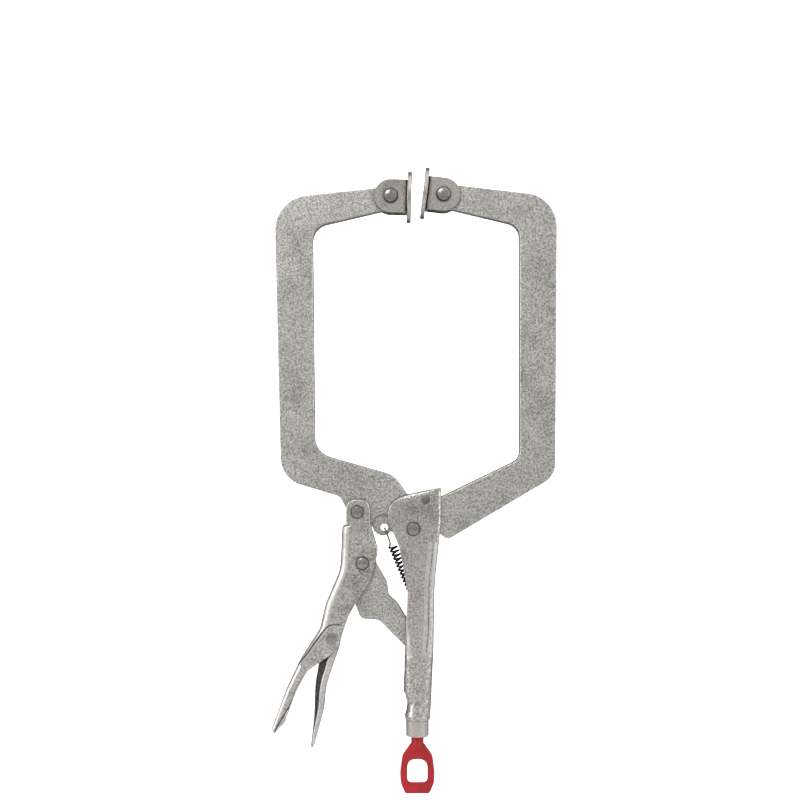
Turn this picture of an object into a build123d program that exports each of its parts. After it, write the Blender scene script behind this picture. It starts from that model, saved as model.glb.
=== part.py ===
"""Locking C clamp with swivel pads, in millimetres.

Frame: X to the right, Z up, Y through the thickness; the clamp is symmetric about Y = 0.
The origin is the middle of the fixed pad's clamping face. The moving arm is on the left,
and the handles hang below. Outlines are lists of corners (x, z, corner radius).
"""
import math
import os

from build123d import *

# Overall layout
REACH = 229.0                 # pad rivets down to the jaw pivot, halfway between the two
PAD_STAGGER = 0.5             # fixed pad's rivet above that halfway level, moving pad's below
PAD_DEPTH = 14.3              # pad rivet to clamping face
FIXED_PAD_TILT = 6.7          # how far the fixed pad leans, top to the right
MOVING_PAD_TILT = 1.7         # the same for the moving pad

FIXED_PAD_RIVET = (
    PAD_DEPTH * math.cos(math.radians(FIXED_PAD_TILT)),
    -PAD_DEPTH * math.sin(math.radians(FIXED_PAD_TILT)),
)
JAW_PIVOT = (-6.5, FIXED_PAD_RIVET[1] - PAD_STAGGER - REACH)


def from_jaw_pivot(dx, dz):
    """A place given by its offset from the jaw pivot."""
    return (JAW_PIVOT[0] + dx, JAW_PIVOT[1] + dz)


MOVING_PAD_RIVET = from_jaw_pivot(-15.6, REACH - PAD_STAGGER)
LEVER_PIVOT = from_jaw_pivot(-38.5, 11.6)
TOGGLE_PIVOT = from_jaw_pivot(-35.0, -23.7)
RELEASE_PIVOT = from_jaw_pivot(-56.3, -75.6)
FIXED_ARM_RIVET = from_jaw_pivot(8.3, 20.0)
SPRING_HOLE = from_jaw_pivot(-20.0, 0.4)
SPRING_RECESS = from_jaw_pivot(-21.1, 2.2)
SCREW_X = JAW_PIVOT[0] + 2.8

# Plates and channels
ARM_THICKNESS = 9.5
TOGGLE_THICKNESS = 7.0
SHEET = 2.2                   # pressed steel of the two handles
HANDLE_GAP = 9.9              # inside the fixed handle and the top of the lever
LEVER_GAP = 7.8               # inside the lever below its step
HANDLE_WIDTH = HANDLE_GAP + 2 * SHEET
LEVER_WIDTH = LEVER_GAP + 2 * SHEET
LEVER_STEP_Z = -239.5         # the lever is narrower below this height
SPINE_INSET = 2.4             # spine wall measured level, across its slope
EDGE_ROUND = 0.9              # rounding along the arms' edges
HUB_RADIUS = 11.6
HUB_CLEARANCE = 1.0           # between the hub and the fixed arm's root
WEB_THICKNESS = 3.5           # plate left between the two spring recesses
RECESS_RADIUS = 7.6
HOOK_HOLE_RADIUS = 2.5
LEVER_BOSS_RADIUS = 8.0       # rounded end of the moving arm at the lever

# Rivets: shank radius, head radius, head height
PAD_RIVET = (3.0, 5.0, 2.6)
JAW_RIVET = (3.6, 4.8, 1.8)
LEVER_RIVET = (3.2, 4.5, 1.6)
TOGGLE_RIVET = (3.2, 4.5, 2.2)
FLUSH_RIVET_RADIUS = 3.15
RELEASE_RIVET_RADIUS = 4.0
RELEASE_RIVET_PROUD = 0.2
RUNNING_FIT = 0.08            # radial clearance of every turning pin

# Pads
PAD_RADIUS = 17.7
PAD_PLATE = 3.0
PAD_CHAMFER = 0.4
EAR_RADIUS = 11.4
EAR_THICKNESS = 2.5
EAR_GAP = 10.0                # between a pad's ears
EAR_BEND = 4.0                # outer bend from the pad's base into its ears
PAD_BASE = 2.1                # base of the bracket behind the plate

# Screw, bushing and loop
SCREW_RADIUS = 4.75
SCREW_TOP_Z = -318.0
HANDLE_END_Z = -363.2
COLLAR_RADIUS = 7.9
COLLAR_END_Z = -374.6
SPIGOT_RADIUS = 6.45
SPIGOT_TOP_Z = -347.5
SCREW_END_Z = -375.2
CAVITY_SIZE = (13.0, 10.6)    # hollow round the screw, above the bushing
CAVITY_CORNER = 4.0
SCREW_TAIL_RADIUS = 3.0
SCREW_TAIL_LENGTH = 8.0
LOOP_NECK_RADIUS = 4.5
LOOP_THICKNESS = 6.5
LOOP_END_Z = -414.3
LOOP_HOLE_TOP_Z = -390.6
LOOP_HOLE_END_Z = -408.2
LOOP_HOLE_HALF_WIDTH = 7.0
LOOP_NECK_DEPTH = 10.0        # how far the round neck runs down into the flat ring
LOOP_GAP = 0.1                # end play between screw and loop

# Return spring
SPRING_RADIUS = 2.75          # to the middle of the wire
WIRE_RADIUS = 0.6
SPRING_PITCH = 2.8
SPRING_TURNS = 16
SPRING_SEAT = (SPRING_HOLE[0] + 0.5, SPRING_HOLE[1] - 1.1)
SPRING_TAB = (0.3, -292.5)    # hole in the handle's tab that holds the lower hook
COIL_START = 13.0             # upper hook's seat to the first coil, along the spring
TAB_SIZE = (8.6, 4.4, 1.8)
TAB_HOLE_INSET = 1.6          # hole to the tab's free end
TAB_HOLE_GAP = 0.35           # between the wire and the hole in the tab
HOOK_SIDE = 2.75              # how far the upper hook's wire stands beside the web
HOOK_OVERLAP = 0.03           # extra radius of the balls that join the wire's straight runs

# Release lever
RELEASE_WIDTH = 7.2
RELEASE_SHEET = 1.6

FAR = 80.0                    # reaches past the object in a cut


def outline(corners):
    """A closed face in the XZ plane; each corner is (x, z, radius)."""
    edges = []
    ends = []
    count = len(corners)
    for i, (x, z, radius) in enumerate(corners):
        here = Vector(x, 0, z)
        if radius == 0:
            ends.append((here, here))
            continue
        before = Vector(corners[i - 1][0], 0, corners[i - 1][1])
        after = Vector(corners[(i + 1) % count][0], 0, corners[(i + 1) % count][1])
        to_before = (before - here).normalized()
        to_after = (after - here).normalized()
        half = math.radians(to_before.get_angle(to_after)) / 2
        reach = radius / math.tan(half)
        middle = (to_before + to_after).normalized()
        start = here + to_before * reach
        end = here + to_after * reach
        top = here + middle * (radius / math.sin(half) - radius)
        edges.append(ThreePointArc(start, top, end).edge())
        ends.append((start, end))
    for i in range(count):
        start = ends[i][1]
        end = ends[(i + 1) % count][0]
        if (end - start).length > 1e-4:
            edges.append(Line(start, end).edge())
    return Face(Wire(edges))


def plate(corners, thickness):
    """An outline thickened equally to both sides of the middle plane."""
    return extrude(outline(corners), amount=thickness / 2, dir=(0, 1, 0), both=True)


def pin(place, radius, length, y=0.0):
    """A round bar along Y."""
    return Pos(place[0], y, place[1]) * Rot(90, 0, 0) * Cylinder(radius, length)


def upright(x, radius, low, high):
    """A round bar along Z."""
    return Pos(x, 0, (low + high) / 2) * Cylinder(radius, high - low)


def rivet(place, sizes, grip):
    """A shank with a low domed head on each side of a stack that is grip thick."""
    shank, head, height = sizes
    half = grip / 2
    ball = (head**2 + height**2) / (2 * height)
    centre = half + height - ball
    angle = math.asin(head / ball) / 2
    shoulder_x = ball * math.sin(angle)
    shoulder_y = centre + ball * math.cos(angle)
    edges = [
        Line((0, -half - height), (0, half + height)).edge(),
        ThreePointArc((0, half + height), (shoulder_x, shoulder_y), (head, half)).edge(),
        Line((head, half), (shank, half)).edge(),
        Line((shank, half), (shank, -half)).edge(),
        Line((shank, -half), (head, -half)).edge(),
        ThreePointArc((head, -half), (shoulder_x, -shoulder_y), (0, -half - height)).edge(),
    ]
    profile = Face(Wire(edges))
    return Pos(place[0], 0, place[1]) * revolve(profile, Axis.Y)


def softened(solid, radius):
    """Rounds the long edges on the two flat sides of a plate."""
    reach = solid.bounding_box().max.Y
    rims = [e for e in solid.edges() if abs(abs(e.center().Y) - reach) < 1e-3]
    return fillet(rims, radius)


def fixed_arm():
    corners = [
        (6.0, 7.1, 7.5),
        (92.6, -2.9, 23),
        (91.3, -195.1, 16),
        (17.1, -239.1, 4),
        (7.5, -231.6, 1.5),
        (1.0, -222.0, 2),
        (-4.2, -214.0, 3),
        (-4.2, -206.4, 4),
        (11.8, -205.4, 2),
        (12.2, -209.7, 0.8),
        (66.7, -183.4, 8),
        (66.5, -22.8, 10),
        (6.0, -8.4, 7.5),
    ]
    body = plate(corners, ARM_THICKNESS)
    body -= pin(JAW_PIVOT, HUB_RADIUS + HUB_CLEARANCE, FAR)
    body = softened(body, EDGE_ROUND)
    body -= pin(FIXED_PAD_RIVET, PAD_RIVET[0] + RUNNING_FIT, FAR)
    body -= pin(FIXED_ARM_RIVET, FLUSH_RIVET_RADIUS, FAR)
    return body


def moving_arm():
    corners = [
        (-13.8, 5.2, 7),
        (-102.4, -4.4, 24),
        (-97.7, -197.2, 20),
        (-57.2, -209.2, 7),
        (-52.9, -217.5, 2),
        (-45.0, -227.0, 3),
        (-27.6, -232.0, 2),
        (-12.0, -236.0, 2),
        (-4.5, -226.0, 2),
        (-7.5, -218.0, 2),
        (-9.2, -209.5, 6),
        (-19.5, -194.8, 20),
        (-74.2, -179.2, 14),
        (-75.8, -23.9, 12),
        (-13.8, -9.4, 7),
    ]
    body = plate(corners, ARM_THICKNESS)
    body += pin(JAW_PIVOT, HUB_RADIUS, ARM_THICKNESS)
    body += pin(LEVER_PIVOT, LEVER_BOSS_RADIUS, ARM_THICKNESS)
    body += pin(SPRING_RECESS, RECESS_RADIUS - 0.3, ARM_THICKNESS)
    body = softened(body, EDGE_ROUND)
    recess_depth = (ARM_THICKNESS - WEB_THICKNESS) / 2
    recess_y = (WEB_THICKNESS + recess_depth) / 2
    for side in (-1, 1):
        body -= pin(SPRING_RECESS, RECESS_RADIUS, recess_depth, side * recess_y)
    body -= pin(SPRING_HOLE, HOOK_HOLE_RADIUS, FAR)
    body -= pin(MOVING_PAD_RIVET, PAD_RIVET[0] + RUNNING_FIT, FAR)
    body -= pin(JAW_PIVOT, JAW_RIVET[0] + RUNNING_FIT, FAR)
    body -= pin(LEVER_PIVOT, LEVER_RIVET[0] + RUNNING_FIT, FAR)
    return body


def pad_at_rivet():
    """A swivel pad facing -X, with its rivet's axis on the Y axis."""
    disc_x = -PAD_DEPTH + PAD_PLATE / 2
    disc = Pos(disc_x, 0, 0) * Rot(0, 90, 0) * Cylinder(PAD_RADIUS, PAD_PLATE)
    disc = chamfer(disc.edges().filter_by(GeomType.CIRCLE), PAD_CHAMFER)
    back = -PAD_DEPTH + PAD_PLATE
    outer = EAR_GAP + 2 * EAR_THICKNESS
    start = back - 0.8
    length = EAR_RADIUS - start
    block = Pos(start + length / 2, 0, 0) * Box(length, outer, 2 * EAR_RADIUS)
    bends = block.edges().filter_by(Axis.Z).group_by(Axis.X)[0]
    block = fillet(bends, EAR_BEND)
    inside = back + PAD_BASE
    gap = Pos(inside + FAR / 2, 0, 0) * Box(FAR, EAR_GAP, FAR)
    side_view = plate(
        [
            (start - 1, -EAR_RADIUS, 0),
            (EAR_RADIUS, -EAR_RADIUS, EAR_RADIUS - 0.02),
            (EAR_RADIUS, EAR_RADIUS, EAR_RADIUS - 0.02),
            (start - 1, EAR_RADIUS, 0),
        ],
        outer + 2,
    )
    body = disc + ((block - gap) & side_view)
    return body - pin((0, 0), PAD_RIVET[0], FAR)


def fixed_pad():
    place = Pos(FIXED_PAD_RIVET[0], 0, FIXED_PAD_RIVET[1])
    return place * Rot(0, FIXED_PAD_TILT, 0) * pad_at_rivet()


def moving_pad():
    place = Pos(MOVING_PAD_RIVET[0], 0, MOVING_PAD_RIVET[1])
    return place * Rot(0, MOVING_PAD_TILT, 0) * Rot(0, 0, 180) * pad_at_rivet()


def pad_rivet(place):
    return rivet(place, PAD_RIVET, EAR_GAP + 2 * EAR_THICKNESS)


HANDLE_SPINE = [(12.8, -203.2, 1.0), (12.6, -228.0, 80), (8.2, -270.0, 150)]
HANDLE_END_TOP_Z = -319.2     # the open channel runs down to here
SPINE_FOOT_X = 7.4            # outside of the spine at that height
HANDLE_BEND = 4.2             # outer bend between spine and cheeks
TUBE_TOP_Z = HANDLE_END_TOP_Z + 2
TUBE_PROUD = 0.3              # rim of the closed end beyond the channel it swallows
OPEN_TOP_Z = -190.0           # above both handles, where their channels are open
ARM_SLOT_FOOT_Z = -240.0      # the fixed arm passes through the spine above this height


def rolled_section(z, left, right, half_width, radius):
    """One rounded cross-section of the handle's tube-like end."""
    middle = (left + right) / 2
    return Plane(origin=(middle, 0, z)) * RectangleRounded(right - left, 2 * half_width, radius)


def rolled_end():
    """The handle's lower end: bulged, necked and flared round the bushing, hollow above it."""
    sections = [
        (TUBE_TOP_Z, -13.0, 7.8, HANDLE_WIDTH / 2 + TUBE_PROUD, 4.4),
        (-328.0, -12.8, 6.9, 7.2, 5.6),
        (-338.0, -13.2, 6.4, 7.4, 6.4),
        (-343.5, -13.2, 6.2, 7.6, 6.9),
        (-348.0, -11.8, 6.0, 7.8, 7.4),
        (-351.5, -10.8, 5.9, 7.9, 7.7),
        (-356.0, -11.3, 5.6, 8.1, 7.9),
        (-360.5, -12.3, 5.2, 8.5, 8.3),
        (HANDLE_END_Z, -12.1, 5.1, 8.5, 8.4),
    ]
    tube = loft([rolled_section(*section) for section in sections], ruled=True)
    cavity_depth = TUBE_TOP_Z + 1 - SPIGOT_TOP_Z
    cavity_start = Plane(origin=(SCREW_X, 0, SPIGOT_TOP_Z))
    tube -= extrude(cavity_start * RectangleRounded(*CAVITY_SIZE, CAVITY_CORNER), amount=cavity_depth)
    return tube - upright(SCREW_X, SPIGOT_RADIUS, HANDLE_END_Z - 1, SPIGOT_TOP_Z + 0.5)


def handle_outline():
    """Side view of the fixed handle's channel."""
    left_edge = [
        (-12.6, HANDLE_END_TOP_Z, 0),
        (-10.5, -274.5, 40),
        (-16.3, -243.3, 30),
        (-30.2, -212.4, 17),
    ]
    return HANDLE_SPINE + [(SPINE_FOOT_X, HANDLE_END_TOP_Z, 0)] + left_edge


def handle_hollow():
    """Side view of the space inside the channel, open at the top, the left and the foot."""
    foot_z = HANDLE_END_TOP_Z - 4
    hollow = [(HANDLE_SPINE[0][0] - SPINE_INSET, OPEN_TOP_Z, 0)]
    hollow += [(x - SPINE_INSET, z, radius) for x, z, radius in HANDLE_SPINE[1:]]
    hollow += [(SPINE_FOOT_X - SPINE_INSET, foot_z, 0), (-FAR, foot_z, 0), (-FAR, OPEN_TOP_Z, 0)]
    return hollow


def is_spine_edge(edge):
    """True for the long edges where the spine meets a cheek."""
    size = edge.bounding_box().size
    centre = edge.center()
    on_cheek = abs(abs(centre.Y) - HANDLE_WIDTH / 2) < 1e-3
    on_spine = centre.X > SPINE_FOOT_X - 0.6
    return on_cheek and on_spine and size.Z > 1.5 and size.X < 8


def spring_tab():
    """The lug inside the handle that the spring's lower hook goes through."""
    middle = SPRING_TAB[0] + TAB_SIZE[0] / 2 - TAB_HOLE_INSET
    tab = Pos(middle, 0, SPRING_TAB[1]) * Box(*TAB_SIZE)
    low = SPRING_TAB[1] - TAB_SIZE[2]
    high = SPRING_TAB[1] + TAB_SIZE[2]
    return tab - upright(SPRING_TAB[0], WIRE_RADIUS + TAB_HOLE_GAP, low, high)


def fixed_handle():
    channel = plate(handle_outline(), HANDLE_WIDTH)
    channel = fillet(channel.edges().filter_by(is_spine_edge), HANDLE_BEND)
    channel -= plate(handle_hollow(), HANDLE_GAP)
    slot_height = OPEN_TOP_Z - ARM_SLOT_FOOT_Z
    slot_z = (OPEN_TOP_Z + ARM_SLOT_FOOT_Z) / 2
    channel -= Pos(FAR / 2 + 5, 0, slot_z) * Box(FAR, HANDLE_GAP, slot_height)
    body = channel + rolled_end() + spring_tab()
    body -= pin(JAW_PIVOT, JAW_RIVET[0], FAR)
    body -= pin(FIXED_ARM_RIVET, FLUSH_RIVET_RADIUS, FAR)
    return body


def thread_bushing():
    body = upright(SCREW_X, COLLAR_RADIUS, COLLAR_END_Z, HANDLE_END_Z)
    body = chamfer(body.edges().filter_by(GeomType.CIRCLE).group_by(Axis.Z)[0], 0.6)
    body += upright(SCREW_X, SPIGOT_RADIUS, HANDLE_END_Z, SPIGOT_TOP_Z)
    return body - upright(SCREW_X, SCREW_RADIUS + RUNNING_FIT, COLLAR_END_Z - 1, SPIGOT_TOP_Z + 1)


def adjusting_screw():
    body = upright(SCREW_X, SCREW_RADIUS, SCREW_END_Z, SCREW_TOP_Z)
    body = chamfer(body.edges().filter_by(GeomType.CIRCLE).group_by(Axis.Z)[-1], 1.2)
    return body + upright(SCREW_X, SCREW_TAIL_RADIUS, SCREW_END_Z - SCREW_TAIL_LENGTH, SCREW_END_Z)


def screw_loop():
    top = SCREW_END_Z - LOOP_GAP
    half_outline = [
        (6.2, -380.6, 1),
        (10.5, -388.3, 10),
        (12.0, -399.8, 20),
        (11.6, -407.0, 8),
        (8.4, LOOP_END_Z, 1.5),
    ]
    right = [(SCREW_X + x, z, r) for x, z, r in half_outline]
    left = [(SCREW_X - x, z, r) for x, z, r in reversed(half_outline)]
    ring = plate(right + left, LOOP_THICKNESS)
    ring = softened(ring, 1.4)
    hole = [
        (SCREW_X + LOOP_HOLE_HALF_WIDTH, LOOP_HOLE_TOP_Z, 6.5),
        (SCREW_X + LOOP_HOLE_HALF_WIDTH, LOOP_HOLE_END_Z, 3),
        (SCREW_X - LOOP_HOLE_HALF_WIDTH, LOOP_HOLE_END_Z, 3),
        (SCREW_X - LOOP_HOLE_HALF_WIDTH, LOOP_HOLE_TOP_Z, 6.5),
    ]
    body = ring + upright(SCREW_X, LOOP_NECK_RADIUS, top - LOOP_NECK_DEPTH, top)
    body -= plate(hole, FAR)
    bottom = SCREW_END_Z - SCREW_TAIL_LENGTH - 0.4
    return body - upright(SCREW_X, SCREW_TAIL_RADIUS + RUNNING_FIT, bottom, top + 1)


LEVER_SPINE = [
    (-102.2, -372.4, 1.5),
    (-104.3, -369.4, 1.5),
    (-94.8, -343.5, 60),
    (-84.5, -321.5, 60),
    (-71.0, -300.5, 20),
    (-67.3, -283.5, 30),
    (-57.0, -259.5, 30),
    (-55.6, -229.8, 1.0),
]


def lever_hollow():
    """Side view of the space inside the lever: open on the right, and on both sides at the top."""
    foot_z = -366.0
    top_z = LEVER_SPINE[-1][1] + 1.8
    hollow = [(-101.6, foot_z, 0)]
    hollow += [(x + SPINE_INSET, z, 0) for x, z, _ in LEVER_SPINE[2:]]
    hollow += [
        (LEVER_SPINE[-1][0] + SPINE_INSET, top_z, 0),
        (-75.0, top_z, 0),
        (-75.0, OPEN_TOP_Z, 0),
        (0, OPEN_TOP_Z, 0),
        (0, foot_z, 0),
    ]
    return hollow


def lever_handle():
    corners = [
        (-52.9, -228.6, 0.5),
        (-53.3, -211.0, 8.0),
        (-36.4, -211.0, 8.0),
        (-36.0, -229.0, 30),
        (-30.6, -247.0, 12),
        (-35.4, -266.0, 40),
        (-51.0, -290.5, 60),
        (-58.2, -314.2, 1.2),
        (-79.5, -329.3, 14),
        (-86.5, -342.2, 60),
        (-94.9, -364.6, 4),
    ] + LEVER_SPINE
    upper_half = Pos(-60, 0, LEVER_STEP_Z + FAR) * Box(2 * FAR, FAR, 2 * FAR)
    lower_half = Pos(-60, 0, LEVER_STEP_Z - FAR) * Box(2 * FAR, FAR, 2 * FAR)
    upper = (plate(corners, HANDLE_WIDTH) & upper_half) - plate(lever_hollow(), HANDLE_GAP)
    lower = (plate(corners, LEVER_WIDTH) & lower_half) - plate(lever_hollow(), LEVER_GAP)
    body = upper + lower
    for place, radius in (
        (LEVER_PIVOT, LEVER_RIVET[0]),
        (TOGGLE_PIVOT, TOGGLE_RIVET[0]),
        (RELEASE_PIVOT, RELEASE_RIVET_RADIUS),
    ):
        body -= pin(place, radius, FAR)
    return body


def toggle_link():
    corners = [
        (-48.4, -248.2, 6.8),
        (-34.6, -248.2, 6.8),
        (-31.4, -256.4, 8),
        (-24.3, -268.6, 8),
        (-23.5, -277.2, 4),
        (-17.4, -282.6, 10),
        (-0.6, -310.8, 3.6),
        (-4.2, -316.6, 3.0),
        (-10.5, -314.2, 8),
        (-30.4, -294.1, 8),
        (-42.6, -293.8, 5.5),
        (-46.3, -284.6, 8),
    ]
    body = softened(plate(corners, TOGGLE_THICKNESS), 0.6)
    return body - pin(TOGGLE_PIVOT, TOGGLE_RIVET[0] + RUNNING_FIT, FAR)


def release_lever():
    corners = [
        (-77.2, -382.0, 1),
        (-75.0, -382.0, 1),
        (-67.9, -356.0, 60),
        (-66.3, -339.0, 60),
        (-57.0, -312.5, 3),
        (-56.6, -301.0, 4),
        (-53.5, -295.0, 1.5),
        (-56.0, -292.0, 1.5),
        (-69.2, -301.0, 4),
        (-69.6, -312.0, 8),
        (-74.2, -338.0, 60),
        (-75.0, -362.0, 60),
    ]
    inside = [
        (-90.0, -377.0, 0),
        (-76.6, -377.0, 0),
        (-69.8, -356.0, 0),
        (-68.2, -339.0, 0),
        (-60.5, -316.0, 0),
        (-60.5, -311.5, 0),
        (-90.0, -311.5, 0),
    ]
    body = plate(corners, RELEASE_WIDTH) - plate(inside, RELEASE_WIDTH - 2 * RELEASE_SHEET)
    return body - pin(RELEASE_PIVOT, RELEASE_RIVET_RADIUS + RUNNING_FIT, FAR)


def wire(points):
    """Round wire through the given points, with a ball at every corner and end."""
    ball = Sphere(WIRE_RADIUS + HOOK_OVERLAP)
    body = Pos(*points[0]) * ball
    for first, second in zip(points, points[1:]):
        run = Line(first, second)
        start = Plane(origin=run @ 0, z_dir=run % 0)
        body += extrude(start * Circle(WIRE_RADIUS), amount=run.length)
        body += Pos(*second) * ball
    return body


def return_spring():
    """Open coils on the line from the arm's hole to the handle's tab, with a hook at each end."""
    run_x = SPRING_TAB[0] - SPRING_SEAT[0]
    run_z = SPRING_TAB[1] - SPRING_SEAT[1]
    lean = math.atan2(run_x, -run_z)
    coil_length = SPRING_PITCH * SPRING_TURNS

    def along(distance, side=0.0, y=0.0):
        """A point so far down the spring's axis and so far to its left."""
        x = SPRING_SEAT[0] + distance * math.sin(lean) - side * math.cos(lean)
        z = SPRING_SEAT[1] - distance * math.cos(lean) - side * math.sin(lean)
        return (x, y, z)

    frame = Pos(*along(COIL_START)) * Rot(0, 180 - math.degrees(lean), 0)
    helix = Helix(SPRING_PITCH, coil_length, SPRING_RADIUS)
    start = Plane(origin=helix @ 0, z_dir=helix % 0)
    coils = frame * sweep(start * Circle(WIRE_RADIUS), path=helix, is_frenet=True)
    upper = wire([
        along(COIL_START, SPRING_RADIUS),
        along(COIL_START - 1.4, SPRING_RADIUS - 1.6, -HOOK_SIDE),
        along(1.2, 0, -HOOK_SIDE),
        along(0, 0, -HOOK_SIDE + 0.4),
        along(0, 0, HOOK_SIDE),
    ])
    coil_end = COIL_START + coil_length
    lower = wire([
        along(coil_end, SPRING_RADIUS),
        along(coil_end + 1.4, 0.6),
        (SPRING_TAB[0], 0, SPRING_TAB[1] + 2.4),
        (SPRING_TAB[0], 0, SPRING_TAB[1] - 2.6),
    ])
    return coils + upper + lower


def fixed_arm_rivet():
    """Ground flush with the handle's cheeks."""
    return pin(FIXED_ARM_RIVET, FLUSH_RIVET_RADIUS, HANDLE_WIDTH)


def release_pivot_rivet():
    """Flat heads, a little proud of the lever's cheeks."""
    return pin(RELEASE_PIVOT, RELEASE_RIVET_RADIUS, LEVER_WIDTH + 2 * RELEASE_RIVET_PROUD)


PARTS = {
    "fixed_handle": fixed_handle,
    "thread_bushing": thread_bushing,
    "fixed_arm": fixed_arm,
    "fixed_arm_rivet": fixed_arm_rivet,
    "jaw_pivot_rivet": lambda: rivet(JAW_PIVOT, JAW_RIVET, HANDLE_WIDTH),
    "moving_arm": moving_arm,
    "lever_handle": lever_handle,
    "lever_pivot_rivet": lambda: rivet(LEVER_PIVOT, LEVER_RIVET, HANDLE_WIDTH),
    "toggle_pivot_rivet": lambda: rivet(TOGGLE_PIVOT, TOGGLE_RIVET, LEVER_WIDTH),
    "release_pivot_rivet": release_pivot_rivet,
    "toggle_link": toggle_link,
    "release_lever": release_lever,
    "adjusting_screw": adjusting_screw,
    "screw_loop": screw_loop,
    "return_spring": return_spring,
    "fixed_pad": fixed_pad,
    "fixed_pad_rivet": lambda: pad_rivet(FIXED_PAD_RIVET),
    "moving_pad": moving_pad,
    "moving_pad_rivet": lambda: pad_rivet(MOVING_PAD_RIVET),
}

os.makedirs("parts", exist_ok=True)
for name, make in PARTS.items():
    export_step(make(), f"parts/{name}.step")
    print("made", name)
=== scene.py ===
"""Locking C clamp: looks, detailed pieces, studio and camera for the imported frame."""
import math

import bmesh
import bpy
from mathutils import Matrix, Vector


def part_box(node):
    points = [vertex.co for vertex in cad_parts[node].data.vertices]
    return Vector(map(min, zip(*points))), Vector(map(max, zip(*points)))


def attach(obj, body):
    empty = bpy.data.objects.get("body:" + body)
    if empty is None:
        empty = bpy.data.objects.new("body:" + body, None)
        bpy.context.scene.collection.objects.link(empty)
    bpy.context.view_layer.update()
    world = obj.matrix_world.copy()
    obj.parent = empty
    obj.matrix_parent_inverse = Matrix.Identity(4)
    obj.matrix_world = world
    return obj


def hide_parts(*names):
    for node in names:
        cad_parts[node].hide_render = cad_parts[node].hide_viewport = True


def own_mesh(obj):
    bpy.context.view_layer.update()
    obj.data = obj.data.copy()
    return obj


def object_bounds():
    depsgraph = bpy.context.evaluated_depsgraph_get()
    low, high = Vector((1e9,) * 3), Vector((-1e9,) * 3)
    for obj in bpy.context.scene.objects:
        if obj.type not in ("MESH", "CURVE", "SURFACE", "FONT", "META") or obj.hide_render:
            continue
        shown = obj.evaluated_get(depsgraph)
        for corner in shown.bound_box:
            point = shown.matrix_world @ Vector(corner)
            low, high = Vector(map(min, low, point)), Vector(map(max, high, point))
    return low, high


MM = 0.001

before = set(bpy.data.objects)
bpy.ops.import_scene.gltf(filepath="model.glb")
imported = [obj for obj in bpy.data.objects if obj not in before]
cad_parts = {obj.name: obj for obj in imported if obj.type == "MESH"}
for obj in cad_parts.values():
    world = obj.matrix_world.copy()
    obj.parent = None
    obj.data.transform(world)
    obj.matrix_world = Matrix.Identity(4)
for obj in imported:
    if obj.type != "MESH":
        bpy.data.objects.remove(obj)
cad_low, cad_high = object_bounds()


# ---------------------------------------------------------------- materials

class Nodes:
    """A short way to add and join shader nodes."""

    def __init__(self, material):
        material.use_nodes = True
        self.tree = material.node_tree
        self.tree.nodes.clear()

    def add(self, kind, **settings):
        node = self.tree.nodes.new(kind)
        for name, value in settings.items():
            if name in node.inputs:
                node.inputs[name].default_value = value
            else:
                setattr(node, name, value)
        return node

    def join(self, source, target):
        self.tree.links.new(source, target)

    def noise(self, place, scale, detail=2.0, roughness=0.5):
        node = self.add("ShaderNodeTexNoise", Scale=scale, Detail=detail, Roughness=roughness)
        self.join(place, node.inputs["Vector"])
        return node.outputs["Fac"]

    def ramp(self, source, low, high, from_low=0.35, from_high=0.65):
        node = self.add("ShaderNodeMapRange")
        node.inputs["From Min"].default_value = from_low
        node.inputs["From Max"].default_value = from_high
        node.inputs["To Min"].default_value = low
        node.inputs["To Max"].default_value = high
        self.join(source, node.inputs["Value"])
        return node.outputs["Result"]

    def colours(self, source, stops):
        node = self.add("ShaderNodeValToRGB")
        band = node.color_ramp
        while len(band.elements) < len(stops):
            band.elements.new(0.5)
        for element, (place, colour) in zip(band.elements, stops):
            element.position = place
            element.color = (*colour, 1.0)
        self.join(source, node.inputs["Fac"])
        return node.outputs["Color"]

    def multiply(self, first, second):
        """Product of two colours; sockets 6 and 7 of a Mix node take colours, and output 2 gives one."""
        node = self.add("ShaderNodeMix", data_type="RGBA", blend_type="MULTIPLY")
        node.inputs[0].default_value = 1.0
        self.join(first, node.inputs[6])
        self.join(second, node.inputs[7])
        return node.outputs[2]

    def relief(self, height, shader, strength, distance):
        bump = self.add("ShaderNodeBump", Strength=strength, Distance=distance)
        self.join(height, bump.inputs["Height"])
        self.join(bump.outputs["Normal"], shader.inputs["Normal"])

    def output(self, surface):
        out = self.add("ShaderNodeOutputMaterial")
        self.join(surface, out.inputs["Surface"])


BROAD_SCALE = 55.0            # wear patches of about 2 cm
GRAIN_HEIGHT = 0.2 * MM
COAT_RELIEF = 0.3 * MM
CREVICE = 3.0 * MM            # how far the painted crevice shade reaches
# Ramp on ambient occlusion: painted shade, darker in crevices, recesses and between parts
CREVICE_SHADE_STOPS = [(0.32, (0.10,) * 3), (0.60, (0.60,) * 3), (0.86, (1.0,) * 3)]


def shade(colour, factor):
    return tuple(min(channel * factor, 1.0) for channel in colour)


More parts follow.
